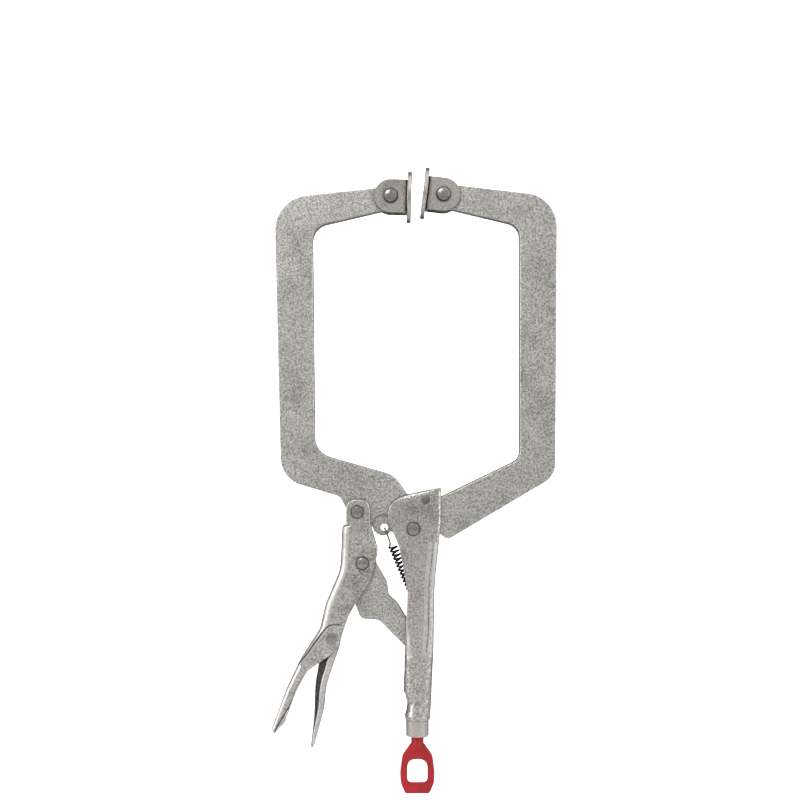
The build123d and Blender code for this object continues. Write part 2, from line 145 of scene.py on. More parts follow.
def metal(name, colour, rough, speckle, wear, grain, bump=0.18):
    """Plated or bare steel: fine speckle, broad wear, painted shade in crevices, uneven roughness, grain."""
    material = bpy.data.materials.new(name)
    nodes = Nodes(material)
    place = nodes.add("ShaderNodeTexCoord").outputs["Object"]
    fine = nodes.noise(place, grain, 3.0, 0.6)
    broad = nodes.noise(place, BROAD_SCALE, 4.0, 0.55)
    fine_colour = nodes.colours(fine, [
        (0.34, shade(colour, 1.0 - 1.9 * speckle)),
        (0.50, colour),
        (0.64, shade(colour, 1.0 + 1.5 * speckle)),
    ])
    broad_colour = nodes.colours(broad, [
        (0.25, (1.0 - 1.7 * wear,) * 3),
        (0.45, (1.0,) * 3),
        (0.75, (1.0 - 0.4 * wear,) * 3),
    ])
    # Ambient occlusion darkens the base colour in crevices and where parts meet: painted shade
    hidden = nodes.add("ShaderNodeAmbientOcclusion", samples=6, Distance=CREVICE)
    crevice_shade = nodes.colours(hidden.outputs["AO"], CREVICE_SHADE_STOPS)
    shader = nodes.add("ShaderNodeBsdfPrincipled", Metallic=1.0)
    nodes.join(nodes.multiply(nodes.multiply(fine_colour, broad_colour), crevice_shade), shader.inputs["Base Color"])
    nodes.join(nodes.ramp(broad, rough - 0.06, rough + 0.08), shader.inputs["Roughness"])
    nodes.relief(fine, shader, bump, GRAIN_HEIGHT)
    nodes.output(shader.outputs["BSDF"])
    return material


def coating(name, colour, rough):
    """A thick dipped plastic coat with a soft waviness."""
    material = bpy.data.materials.new(name)
    nodes = Nodes(material)
    place = nodes.add("ShaderNodeTexCoord").outputs["Object"]
    fine = nodes.noise(place, 900.0, 3.0)
    broad = nodes.noise(place, 120.0, 2.0)
    tint = nodes.colours(broad, [(0.3, shade(colour, 0.86)), (0.55, colour), (0.8, shade(colour, 1.12))])
    shader = nodes.add("ShaderNodeBsdfPrincipled")
    shader.inputs["Coat Weight"].default_value = 0.08
    shader.inputs["Coat Roughness"].default_value = 0.2
    shader.inputs["Specular IOR Level"].default_value = 0.28
    nodes.join(tint, shader.inputs["Base Color"])
    nodes.join(nodes.ramp(fine, rough - 0.05, rough + 0.08), shader.inputs["Roughness"])
    nodes.relief(fine, shader, 0.12, COAT_RELIEF)
    nodes.output(shader.outputs["BSDF"])
    return material


NICKEL = (0.60, 0.58, 0.555)
ARM_STEEL = metal("arm_nickel", (0.55, 0.54, 0.515), 0.40, speckle=0.27, wear=0.09, grain=900.0, bump=0.55)
SHEET_STEEL = metal("sheet_nickel", NICKEL, 0.26, speckle=0.25, wear=0.22, grain=700.0, bump=0.55)
# Lighter, less speckled copy of the sheet steel for bends, lips, the rolled end's left side and the bead:
# painted highlight
HIGHLIGHT_STEEL = metal("highlight_nickel", (0.68, 0.665, 0.65), 0.38, speckle=0.09, wear=0.12, grain=500.0,
                    bump=0.15)
# Near-black copy of the steel: painted shadow in grooves, rivet rims, the bead and the release lever's inside
PAINTED_SHADOW_STEEL = metal("inner_shadow", (0.10, 0.095, 0.09), 0.45, speckle=0.24, wear=0.20, grain=700.0)
PAD_STEEL = metal("pad_nickel", (0.60, 0.58, 0.54), 0.24, speckle=0.12, wear=0.22, grain=800.0, bump=0.20)
RIVET_STEEL = metal("rivet_nickel", (0.40, 0.375, 0.36), 0.18, speckle=0.14, wear=0.25, grain=800.0,
                    bump=0.12)
DARK_RIVET = metal("dark_rivet", (0.24, 0.22, 0.21), 0.42, speckle=0.25, wear=0.20, grain=900.0)
TURNED_STEEL = metal("turned_nickel", (0.60, 0.58, 0.55), 0.22, speckle=0.10, wear=0.18, grain=900.0,
                     bump=0.14)
SCREW_STEEL = metal("screw_steel", (0.30, 0.29, 0.28), 0.36, speckle=0.18, wear=0.20, grain=1000.0)
SPRING_STEEL = metal("spring_black", (0.035, 0.038, 0.05), 0.34, speckle=0.20, wear=0.20, grain=1200.0,
                     bump=0.10)
HOOK_STEEL = metal("spring_hook", (0.34, 0.34, 0.36), 0.30, speckle=0.15, wear=0.20, grain=1200.0)
RED_COAT = coating("red_coating", (0.30, 0.006, 0.012), 0.40)


def give(obj, material):
    """Puts one material in every slot of an object."""
    if not obj.material_slots:
        obj.data.materials.append(material)
    for slot in obj.material_slots:
        slot.material = material


CAD_LOOKS = {
    "fixed_handle": SHEET_STEEL,
    "lever_handle": SHEET_STEEL,
    "release_lever": SHEET_STEEL,
    "fixed_arm": ARM_STEEL,
    "moving_arm": ARM_STEEL,
    "toggle_link": ARM_STEEL,
    "fixed_pad": PAD_STEEL,
    "moving_pad": PAD_STEEL,
    "fixed_pad_rivet": RIVET_STEEL,
    "moving_pad_rivet": RIVET_STEEL,
    "jaw_pivot_rivet": RIVET_STEEL,
    "lever_pivot_rivet": RIVET_STEEL,
    "toggle_pivot_rivet": RIVET_STEEL,
    "release_pivot_rivet": RIVET_STEEL,
    "fixed_arm_rivet": DARK_RIVET,
    "thread_bushing": TURNED_STEEL,
    "adjusting_screw": SCREW_STEEL,
    "screw_loop": RED_COAT,
    "return_spring": SPRING_STEEL,
}
for node, look in CAD_LOOKS.items():
    give(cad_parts[node], look)


# ---------------------------------------------------------------- mesh tools

def new_object(name, mesh, body, looks, replaced):
    """Adds a finished mesh that rides a body and stands in for one CAD node."""
    obj = bpy.data.objects.new(name, mesh)
    bpy.context.scene.collection.objects.link(obj)
    for look in looks:
        mesh.materials.append(look)
    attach(obj, body)
    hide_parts(replaced)
    return obj


def middle_of(node):
    low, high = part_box(node)
    return (low + high) / 2


def ring(bm, centre, side, up, radii_points):
    """One loop of vertices round a centre; radii_points are (angle, radius)."""
    return [
        bm.verts.new(centre + side * (radius * math.cos(angle)) + up * (radius * math.sin(angle)))
        for angle, radius in radii_points
    ]


def bridge(bm, first, second, material=0):
    """Faces between two loops; material is an index, or a function that gives face i its index."""
    count = len(first)
    for i in range(count):
        face = bm.faces.new((first[i], first[(i + 1) % count], second[(i + 1) % count], second[i]))
        face.smooth = True
        face.material_index = material(i) if callable(material) else material


def lathe(bm, centre, axis, profile, segments=64, radius_of=None, dark_segments=()):
    """A closed turned shape. profile is (height, radius) along the axis, from one end to the other.

    radius_of(height, radius, angle) may vary the radius; dark_segments get the second material.
    """
    side = axis.orthogonal().normalized()
    up = axis.cross(side).normalized()
    loops = []
    for height, radius in profile:
        points = []
        for i in range(segments):
            angle = 2 * math.pi * i / segments
            points.append((angle, radius_of(height, radius, angle) if radius_of else radius))
        loops.append(ring(bm, centre + axis * height, side, up, points))
    for k, (first, second) in enumerate(zip(loops, loops[1:])):
        bridge(bm, first, second, 1 if k in dark_segments else 0)
    for loop, flip in ((loops[0], True), (loops[-1], False)):
        face = bm.faces.new(list(reversed(loop)) if flip else loop)
        face.smooth = True


def finish_mesh(name, bm):
    bmesh.ops.recalc_face_normals(bm, faces=bm.faces[:])
    mesh = bpy.data.meshes.new(name)
    bm.to_mesh(mesh)
    bm.free()
    return mesh


# ---------------------------------------------------------------- rivets

RIM_SHARE = 0.45              # part of a head's height that is its upright rim
RIM_SHADE_BANDS = range(5, 10)      # bands of the profile, from the end of the dome, in painted shadow
DOME_STEPS = 9
POINT_RADIUS = 0.02           # of the tiny flat that closes a turned end, in mm
ACROSS = Vector((0, 1, 0))
UPWARD = Vector((0, 0, 1))


def both_ends(end):
    """Whole profile in metres from one end's (height, radius) points in mm."""
    points = [(-h, r) for h, r in end] + [(h, r) for h, r in reversed(end)]
    return [(h * MM, r * MM) for h, r in points]


def domed_profile(half_grip, head, height, shank):
    """Profile of a headed pin with a rounded rim, from one dome to the other."""
    rim = height * RIM_SHARE
    dome = []
    for i in range(DOME_STEPS):
        angle = i / (DOME_STEPS - 1) * math.pi / 2
        rise = rim + (height - rim) * math.cos(angle)
        dome.append((half_grip + rise, max(head * math.sin(angle), POINT_RADIUS)))
    dome += [(half_grip + rim * 0.5, head), (half_grip, head * 0.985), (half_grip, shank)]
    return both_ends(dome)


def half_depth(node):
    low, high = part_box(node)
    return (high.y - low.y) / 2 / MM


def domed_rivet(node, body, head, height, shank):
    profile = domed_profile(half_depth(node) - height, head, height, shank)
    last_band = len(profile) - 2
    dark = set(RIM_SHADE_BANDS) | {last_band - k for k in RIM_SHADE_BANDS}
    bm = bmesh.new()
    lathe(bm, middle_of(node), ACROSS, profile, dark_segments=dark)
    new_object(node + "_domed", finish_mesh(node, bm), body, [RIVET_STEEL, PAINTED_SHADOW_STEEL], node)


domed_rivet("fixed_pad_rivet", "fixed_swivel", 5.0, 2.6, 3.0)
domed_rivet("moving_pad_rivet", "moving_swivel", 5.0, 2.6, 3.0)
domed_rivet("jaw_pivot_rivet", "handle", 4.8, 1.8, 3.6)
domed_rivet("lever_pivot_rivet", "lever", 4.5, 1.6, 3.2)
domed_rivet("toggle_pivot_rivet", "lever", 4.5, 2.2, 3.2)


def flush_rivet(node, body, look, radius, rise):
    """A nearly flat rivet end with a fine groove round it."""
    half = half_depth(node)
    end = [(half + rise, POINT_RADIUS), (half + rise, radius * 0.55), (half + rise * 0.8, radius * 0.8),
           (half + rise * 0.2, radius * 0.86), (half + rise * 0.7, radius * 0.93), (half, radius)]
    bm = bmesh.new()
    lathe(bm, middle_of(node), ACROSS, both_ends(end))
    new_object(node + "_flush", finish_mesh(node, bm), body, [look], node)


flush_rivet("fixed_arm_rivet", "handle", DARK_RIVET, 3.15, 0.3)
flush_rivet("release_pivot_rivet", "lever", RIVET_STEEL, 4.0, 0.25)


# ---------------------------------------------------------------- screw

THREAD_PITCH = 1.5875 * MM
THREAD_DEPTH = 0.9 * MM
SCREW_RADIUS = 4.75 * MM
SCREW_TAIL = 8.0 * MM         # plain end that sits in the loop
TAIL_RADIUS = 3.0 * MM
NOSE_CHAMFER = 1.2 * MM
ROWS_PER_TURN = 8
CREST_SHARE = 1.25            # above 1, the thread's crest is flat
TINY = 1e-6


def screw_mesh():
    """The real helical thread, with a smooth nose and the plain tail inside the loop."""
    low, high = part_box("adjusting_screw")
    x, y = middle_of("adjusting_screw").xy
    root = SCREW_RADIUS - THREAD_DEPTH
    top, foot = high.z, low.z + SCREW_TAIL
    step = THREAD_PITCH / ROWS_PER_TURN
    profile = [(low.z, TAIL_RADIUS), (foot, TAIL_RADIUS)]
    profile += [(foot + 10 * TINY + i * step, SCREW_RADIUS) for i in range(int((top - foot) / step))]
    profile += [(top, SCREW_RADIUS - NOSE_CHAMFER)]

    def thread(height, radius, angle):
        if radius < SCREW_RADIUS - TINY:
            return radius
        phase = ((height / THREAD_PITCH) - angle / (2 * math.pi)) % 1.0
        ridge = 1.0 - abs(2.0 * phase - 1.0)
        cut = root + THREAD_DEPTH * min(1.0, ridge * CREST_SHARE)
        nose = max(0.0, NOSE_CHAMFER - (top - height))
        return min(cut, SCREW_RADIUS - nose)

    bm = bmesh.new()
    lathe(bm, Vector((x, y, 0)), UPWARD, profile, 48, thread)
    return finish_mesh("screw_thread", bm)


new_object("screw_thread", screw_mesh(), "screw", [SCREW_STEEL], "adjusting_screw")


# ---------------------------------------------------------------- spring

COIL_TURNS = 16
COIL_RADIUS = 2.75 * MM
WIRE_RADIUS = 0.74 * MM
COIL_PITCH = 2.8 * MM
SPRING_SEAT = Vector((-26.0, 0.0, -231.868)) * MM
SPRING_TAB = Vector((0.3, 0.0, -292.5)) * MM
COIL_START = 13.0 * MM        # from the seat in the arm to the first coil
STEPS_PER_COIL = 28


def spring_path():
    """Points along the wire: arm hook, shoulder, coils, lower hook."""
    down = (SPRING_TAB - SPRING_SEAT).normalized()
    left = Vector((down.z, 0.0, -down.x))
    back = Vector((0.0, 1.0, 0.0))

    def at(distance, side=0.0, y=0.0):
        return SPRING_SEAT + down * (distance * MM) + left * (side * MM) + back * (y * MM)

    hook = [at(0.0, 0.0, 2.6), at(-0.5, 0, 2.2), at(-0.5, 0.0, 0.0), at(-0.5, 0, -2.0), at(0.4, 0.0, -2.7),
            at(4.0, 0.1, -2.8), at(8.0, 0.3, -2.6), at(11.2, 0.8, -2.0)]
    coils = []
    for i in range(COIL_TURNS * STEPS_PER_COIL + 1):
        angle = 2 * math.pi * i / STEPS_PER_COIL
        centre = SPRING_SEAT + down * (COIL_START + COIL_PITCH * i / STEPS_PER_COIL)
        coils.append(centre + left * (COIL_RADIUS * math.cos(angle)) - back * (COIL_RADIUS * math.sin(angle)))
    tail = [at(59.3, 1.1), at(61.5, 0.2), SPRING_TAB + Vector((0, 0, 1.5 * MM)),
            SPRING_TAB - Vector((0, 0, 2.4 * MM))]
    return hook, coils, tail


def smooth_points(points, repeats=2):
    """Corner cutting, which rounds a wire's bends."""
    for _ in range(repeats):
        cut = [points[0]]
        for a, b in zip(points, points[1:]):
            cut += [a.lerp(b, 0.25), a.lerp(b, 0.75)]
        points = cut + [points[-1]]
    return points


def tube(bm, points, radius, sides=12, material_of=None):
    """A round wire swept through the points, with flat ends."""
    tangents = []
    for i in range(len(points)):
        before = points[max(i - 1, 0)]
        after = points[min(i + 1, len(points) - 1)]
        tangents.append((after - before).normalized())
    side = tangents[0].orthogonal().normalized()
    loops = []
    for point, tangent in zip(points, tangents):
        side = (side - tangent * side.dot(tangent)).normalized()
        up = tangent.cross(side)
        circle = [(2 * math.pi * k / sides, radius) for k in range(sides)]
        loops.append(ring(bm, point, side, up, circle))
    for i, (first, second) in enumerate(zip(loops, loops[1:])):
        bridge(bm, first, second, material_of(i) if material_of else 0)
    bm.faces.new(list(reversed(loops[0])))
    bm.faces.new(loops[-1])


def spring_mesh():
    hook, coils, tail = spring_path()
    hook = smooth_points(hook + coils[:2])[:-2]
    tail = smooth_points(coils[-2:] + tail)[2:]
    points = hook + coils + tail
    bright = len(hook)
    bm = bmesh.new()
    tube(bm, points, WIRE_RADIUS, material_of=lambda i: 1 if i < bright else 0)
    return finish_mesh("spring_wire", bm)


spring = new_object("spring_wire", spring_mesh(), "spring", [SPRING_STEEL, HOOK_STEEL],
                    "return_spring")
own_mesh(spring)


# ---------------------------------------------------------------- pressed channels

SHEET = 2.2                   # wall, in mm like every outline below


def rounded(corners, steps=6):
    """Outline points from corners (x, z, radius)."""
    points = []
    count = len(corners)
    for i, (x, z, radius) in enumerate(corners):
        here = Vector((x, z))
        if radius == 0:
            points.append(here)
            continue
        before = (Vector(corners[i - 1][:2]) - here).normalized()
        after = (Vector(corners[(i + 1) % count][:2]) - here).normalized()
        half = before.angle(after) / 2
        reach = radius / math.tan(half)
        start, end = here + before * reach, here + after * reach
        for k in range(steps + 1):
            share = k / steps
            points.append(start.lerp(here, share).lerp(here.lerp(end, share), share))
    return points


def span_at(points, z):
    """Left and right x where the level line z crosses an outline."""
    hits = []
    for a, b in zip(points, points[1:] + points[:1]):
        if (a.y - z) * (b.y - z) < 0:
            hits.append(a.x + (b.x - a.x) * (z - a.y) / (b.y - a.y))
    return (min(hits), max(hits)) if len(hits) > 1 else None


def blend_of(table, z):
    """A value read from rows (z, value), going down, with smooth steps between them."""
    if z >= table[0][0]:
        return table[0][1]
    for (z0, v0), (z1, v1) in zip(table, table[1:]):
        if z >= z1:
            share = (z0 - z) / (z0 - z1)
            share = share * share * (3 - 2 * share)
            return v0 + (v1 - v0) * share
    return table[-1][1]


def channel_half(free_x, spine_x, half, wall, bend, curl, groove):
    """Outer and inner points of one side of a channel, from the spine's middle to the free edge.

    Outer faces 0 to 7 are the spine and its bend, 8 to 12 the cheek with its groove, 13 to 18 the lip.
    groove is (distance from the bend, depth, share of the depth kept up to the lip).
    """
    d = 1.0 if spine_x > free_x else -1.0
    width = abs(spine_x - free_x)
    bend = max(0.3, min(bend, width * 0.45, half - 0.2))
    lip = max(0.2, min(0.9, width * 0.15))
    outer = [(spine_x, 0.0), (spine_x, (half - bend) * 0.6)]
    for k in range(7):
        angle = math.pi / 2 * k / 6
        outer.append((spine_x - d * bend * (1 - math.cos(angle)), half - bend * (1 - math.sin(angle))))
    offset, depth, kept = groove
    room = width - bend - lip
    for share, drop in ((-0.3, 0.0), (0.0, depth), (0.5, depth * max(0.85, kept)), (3.4, depth * kept)):
        place = min(max(offset + share, 0.05), max(room - 0.05, 0.06)) if room > 0 else 0.0
        outer.append((spine_x - d * (bend + place), half - drop))
    drop = min(max(curl, wall), half - 0.05)
    face = half - depth * kept
    for k in range(6):
        angle = math.pi / 2 * k / 5
        reach = min(lip + max(0.0, drop - wall) * 0.95, width * 0.3, half - 0.4)
        outer.append((free_x + d * reach * (1 - math.sin(angle)), face - reach * (1 - math.cos(angle))))
    outer.append((free_x, half - drop))
    inset = wall * min(1.0, max(0.0, (drop - wall) / 2.0))
    inset = min(inset, width * 0.4)
    inner_x = spine_x - d * min(wall * 1.09, width * 0.45)
    inner = [
        (free_x + d * inset, half - drop),
        (free_x + d * inset, half - wall),
        (inner_x - d * min(1.2, width * 0.1), half - wall),
        (inner_x, half - wall - 1.2),
        (inner_x, 0.0),
    ]
    return outer, inner


def channel_loop(*facts):
    """One closed cross-section, both sides."""
    outer, inner = channel_half(*facts)
    inner_mirrored = [(x, -y) for x, y in reversed(inner[:-1])]
    outer_mirrored = [(x, -y) for x, y in reversed(outer[1:])]
    return outer + inner + inner_mirrored + outer_mirrored


LAST_FACE = 47                # of a channel_loop; face k of one cheek is LAST_FACE - k of the other
LIP_FACES = range(13, 19)
# DARK faces take the painted shadow look and BRIGHT faces the painted highlight look
PLAIN, DARK, BRIGHT = 0, 1, 2
PRESSED_LOOKS = [SHEET_STEEL, PAINTED_SHADOW_STEEL, HIGHLIGHT_STEEL]


def both_cheeks(faces):
    return set(faces) | {LAST_FACE - k for k in faces}


def cheek_loop(free_x, spine_x, half, wall, bend):
    """Cross-section of one flat cheek where the channel has no spine."""
    d = 1.0 if spine_x > free_x else -1.0
    soft = min(0.8, abs(spine_x - free_x) * 0.2)
    bend_x = min(bend, abs(spine_x - free_x) * 0.45)
    bend_y = min(bend, wall - 0.1)
    loop = [(free_x, half - wall)]
    for k in range(5):
        angle = math.pi / 2 * k / 4
        loop.append((free_x + d * soft * (1 - math.cos(angle)), half - soft * (1 - math.sin(angle))))
    for k in range(7):
        angle = math.pi / 2 * k / 6
        loop.append((spine_x - d * bend_x * (1 - math.sin(angle)), half - bend_y * (1 - math.cos(angle))))
    return loop + [(spine_x, half - wall)]


def loft(bm, sections, rule=None):
    """Joins closed sections, each a height and a list of (x, y), and caps both ends.

    rule gives the material of face i of the band below a height.
    """
    loops = []
    for z, points in sections:
        loops.append([bm.verts.new((x * MM, y * MM, z * MM)) for x, y in points])
    for (z, _), first, second in zip(sections, loops, loops[1:]):
        bridge(bm, first, second, (lambda i, level=z: rule(i, level)) if rule else 0)
    for loop in (loops[0], loops[-1]):
        cap = bm.faces.new(loop)
        for edge in cap.edges:
            edge.smooth = False


def levels(high, low, step):
    """Even heights from high to low, about one step apart."""
    count = max(2, round((high - low) / step))
    return [high + (low - high) * i / count for i in range(count + 1)]


LOWER_STEP = 0.8
UPPER_STEP = 0.5
SEAM_OVERLAP = 0.01           # of the open part over the part with a spine
GROOVE_SHOWS = 0.3            # depth from which a groove is painted as shadow
CURL_SHOWS = 3.0              # curl from which the lip is painted as highlight


def channel_mesh(corners, spine_on_right, facts):
    """A pressed channel from its side view, with the index of a pressed look on each face.

    facts has heights (top, foot, and open_above, over which there is no spine), the wall and open_bend,
    tables by height (half, bend, curl, groove_at, groove_depth), and the painted shadow and highlight faces.
    """
    points = rounded(corners)
    bm = bmesh.new()
    wall = facts["wall"]
    lower = []
    for z in levels(min(facts["open_above"], facts["top"]), facts["foot"], LOWER_STEP):
        span = span_at(points, z)
        if not span:
            continue
        free_x, spine_x = span if spine_on_right else (span[1], span[0])
        groove = (blend_of(facts["groove_at"], z), blend_of(facts["groove_depth"], z), facts["groove_kept"])
        lower.append((z, channel_loop(free_x, spine_x, blend_of(facts["half"], z), wall,
                                      blend_of(facts["bend"], z), blend_of(facts["curl"], z), groove)))
    shadow, bright = both_cheeks(facts["shadow"]), both_cheeks(facts["bright"])
    curled = both_cheeks(LIP_FACES)

    def rule(i, z):
        if i in shadow and blend_of(facts["groove_depth"], z) > GROOVE_SHOWS:
            return DARK
        if i in bright or (i in curled and blend_of(facts["curl"], z) > CURL_SHOWS):
            return BRIGHT
        return PLAIN

    loft(bm, lower, rule)
    if facts["top"] > facts["open_above"]:
        upper = []
        for z in levels(facts["top"], facts["open_above"] - SEAM_OVERLAP, UPPER_STEP):
            span = span_at(points, z)
            if span:
                free_x, spine_x = span if spine_on_right else (span[1], span[0])
                upper.append((z, free_x, spine_x, blend_of(facts["half"], z)))
        bend = facts["open_bend"]
        for side in (1, -1):
            loft(bm, [
                (z, [(x, side * y) for x, y in cheek_loop(free_x, spine_x, half, wall, bend)])
                for z, free_x, spine_x, half in upper
            ])
    return bm


# Fixed handle: channel, then the end rolled into a tube round the bushing. An outline's corners are
# (x, z, radius), and a table's rows are (z, value).
HANDLE_FOOT = -319.2
HANDLE_OUTLINE = [
    (12.8, -203.2, 1.0), (12.6, -228.0, 80), (8.2, -270.0, 150), (7.4, HANDLE_FOOT, 0),
    (-12.6, HANDLE_FOOT, 0), (-10.5, -274.5, 40), (-16.3, -243.3, 30), (-30.2, -212.4, 17),
]
HANDLE_FACTS = {
    "top": -203.25, "open_above": -240.0, "foot": HANDLE_FOOT + 0.05, "wall": SHEET, "open_bend": 3.6,
    "groove_kept": 0.0, "shadow": (9,), "bright": (4, 5, 6, 7, 11),
    "half": [(-224.0, 7.15)],
    "bend": [(-240.0, 3.6), (-262.0, 3.4), (-300.0, 3.2), (HANDLE_FOOT, 4.6)],
    "curl": [(-296.0, 2.2), (-310.0, 5.5), (HANDLE_FOOT, 7.0)],
    "groove_at": [(-240.0, 0.5), (-262.0, 0.7)],
    "groove_depth": [(-240.0, 0.0), (-252.0, 0.45), (-270.0, 0.85), (-306.0, 0.85), (HANDLE_FOOT, 0.15)],
}
# Rows of the rolled end: z, left, right, half depth, corner radius
TUBE_SECTIONS = [
    (-318.6, -12.6, 7.35, 7.14, 4.9), (-328.0, -12.8, 6.9, 7.2, 5.6), (-338.0, -13.2, 6.4, 7.4, 6.4),
    (-343.5, -13.2, 6.2, 7.6, 6.9), (-348.0, -11.8, 6.0, 7.8, 7.4), (-351.5, -10.8, 5.9, 7.9, 7.7),
    (-356.0, -11.3, 5.6, 8.1, 7.9), (-360.5, -12.3, 5.2, 8.5, 8.3), (-363.2, -12.1, 5.1, 8.5, 8.4),
]
BUSHING_X = -3.7
BORE_RADIUS = 6.6
NARROW_BORE = BORE_RADIUS - 1.1
BORE_STEP_Z = -347.5          # the bore is narrow above this height
TUBE_STEP = 0.9
TUBE_HIGHLIGHT = range(9, 15)    # faces of the left side, mostly towards the back, in painted highlight


def between(rows, z):
    """Section values at a height, eased between the given rows."""
    return [blend_of([(row[0], row[k]) for row in rows], z) for k in range(1, len(rows[0]))]


def soft_box(left, right, half, radius, steps):
    """A rounded rectangle, half wide to each side of the x axis."""
    middle, wide = (left + right) / 2, (right - left) / 2
    radius = min(radius, wide - 0.02, half - 0.02)
    points = []
    for sx, sy, start in ((1, 1, 0), (-1, 1, 90), (-1, -1, 180), (1, -1, 270)):
        for k in range(steps):
            angle = math.radians(start + 90 * k / (steps - 1))
            points.append((
                middle + sx * (wide - radius) + radius * math.cos(angle),
                sy * (half - radius) + radius * math.sin(angle),
            ))
    return points


def tube_inside(points, centre_x, radius):
    """Points of a round bore, one for each point of the outer section."""
    inside = []
    for x, y in points:
        angle = math.atan2(y, x - centre_x)
        inside.append((centre_x + radius * math.cos(angle), radius * math.sin(angle)))
    return inside


def level_loop(bm, points, z):
    return [bm.verts.new((x * MM, y * MM, z * MM)) for x, y in points]


def add_tube(bm):
    outer, inner = [], []
    for z in levels(TUBE_SECTIONS[0][0], TUBE_SECTIONS[-1][0], TUBE_STEP):
        left, right, half, radius = between(TUBE_SECTIONS, z)
        section = soft_box(left, right, half, radius, 7)
        outer.append(level_loop(bm, section, z))
        bore = tube_inside(section, BUSHING_X, NARROW_BORE if z > BORE_STEP_Z else BORE_RADIUS)
        inner.append(level_loop(bm, bore, z))
    for first, second in zip(outer, outer[1:]):
        bridge(bm, first, second, lambda i: BRIGHT if i in TUBE_HIGHLIGHT else PLAIN)
    for first, second in zip(inner, inner[1:]):
        bridge(bm, first, second)
    for a, b in ((outer[0], inner[0]), (outer[-1], inner[-1])):
        bridge(bm, a, b)


TAB_OUTLINE = [(-1.3, -0.9), (7.3, -0.9), (7.3, 0.9), (-1.3, 0.9)]
TAB_Z = SPRING_TAB.z / MM
TAB_HALF = 2.2


def fixed_handle_mesh():
    """The handle's channel and rolled end, with the tab that holds the spring's lower hook."""
    bm = channel_mesh(HANDLE_OUTLINE, True, HANDLE_FACTS)
    add_tube(bm)
    near, far = [
        [bm.verts.new((x * MM, y * MM, (TAB_Z + z) * MM)) for x, z in TAB_OUTLINE]
        for y in (-TAB_HALF, TAB_HALF)
    ]
    bridge(bm, near, far)
    bm.faces.new(near)
    bm.faces.new(far)
    return finish_mesh("fixed_handle_shell", bm)


# Lever handle
LEVER_OUTLINE = [
    (-52.9, -228.6, 0.5), (-53.3, -211.0, 8.0), (-36.4, -211.0, 8.0), (-36.0, -229.0, 30),
    (-30.6, -247.0, 12), (-35.4, -266.0, 40), (-51.0, -290.5, 60), (-58.2, -314.2, 1.2),
    (-79.5, -329.3, 14), (-86.5, -342.2, 60), (-94.9, -364.6, 4),
    (-102.2, -372.4, 1.5), (-104.3, -369.4, 1.5), (-94.8, -343.5, 60), (-84.5, -321.5, 60),
    (-71.0, -300.5, 20), (-67.3, -283.5, 30), (-57.0, -259.5, 30), (-55.6, -229.8, 1.0),
]
LEVER_FACTS = {
    "top": -211.05, "open_above": -228.5, "foot": -371.4, "wall": SHEET, "open_bend": 1.2,
    "groove_kept": 0.0, "shadow": (9, 10), "bright": range(1, 8),
    "half": [(-233.0, 7.15), (-245.0, 6.1)],
    "bend": [(-229.0, 5.2), (-300.0, 5.4), (-326.0, 4.2), (-371.0, 2.6)],
    "curl": [(-228.0, 2.2)],
    "groove_at": [(-328.0, 5.0), (-350.0, 3.4), (-370.0, 0.6)],
    "groove_depth": [(-326.0, 0.0), (-338.0, 1.0), (-366.0, 1.0), (-371.0, 0.3)],
}

# Release lever: its channel opens to the left, where its inside shows in painted shadow
RELEASE_OUTLINE = [
    (-77.2, -382.0, 1), (-75.0, -382.0, 1), (-67.9, -356.0, 60), (-66.3, -339.0, 60),
    (-57.0, -312.5, 3), (-56.6, -301.0, 4), (-53.5, -295.0, 1.5), (-56.0, -292.0, 1.5),
    (-69.2, -301.0, 4), (-69.6, -312.0, 8), (-74.2, -338.0, 60), (-75.0, -362.0, 60),
]
RELEASE_FACTS = {
    "top": -292.6, "open_above": -292.0, "foot": -381.9, "wall": 1.6, "open_bend": 1.0,
    "groove_kept": 1.0, "shadow": range(9, 19), "bright": range(1, 9),
    "half": [(-292.0, 3.6)],
    "bend": [(-300.0, 2.2), (-325.0, 3.2), (-380.0, 2.0)],
    "curl": [(-292.0, 1.6)],
    "groove_at": [(-316.0, 3.0), (-330.0, 1.7), (-372.0, 1.7), (-381.0, 1.0)],
    "groove_depth": [(-310.0, 0.0), (-318.0, 0.9), (-374.0, 0.9), (-381.0, 0.4)],
}

BEAD = [(-56.8, -297.3), (-65.0, -296.9), (-72.2, -306.0), (-80.1, -317.4), (-85.5, -324.4)]
BEAD_RADIUS = 0.34
BEAD_Y = 6.02
BEAD_SHIFT = (1.3, -0.78)     # from the bead's painted shadow line to its painted highlight line, in x and z


def lever_mesh():
    """The lever's channel, with the pressed bead that runs round the release rivet on each cheek."""
    bm = channel_mesh(LEVER_OUTLINE, False, LEVER_FACTS)
    for y in (-BEAD_Y, BEAD_Y):
        # Each bead is a painted shadow line with a painted highlight line beside it
        for (right, up), look in (((0.0, 0.0), DARK), (BEAD_SHIFT, BRIGHT)):
            path = [Vector((x + right, y, z + up)) * MM for x, z in BEAD]
            made = len(bm.faces)
            tube(bm, smooth_points(path), BEAD_RADIUS * MM, 8)
            bm.faces.ensure_lookup_table()
            for face in bm.faces[made:]:
                face.material_index = look
    return finish_mesh("lever_handle_shell", bm)


def release_mesh():
    return finish_mesh("release_lever_shell", channel_mesh(RELEASE_OUTLINE, True, RELEASE_FACTS))


for body, node, make_shell in (
    ("handle", "fixed_handle", fixed_handle_mesh),
    ("lever", "lever_handle", lever_mesh),
    ("release", "release_lever", release_mesh),
):
    new_object(node + "_shell", make_shell(), body, PRESSED_LOOKS, node)


# ---------------------------------------------------------------- red loop

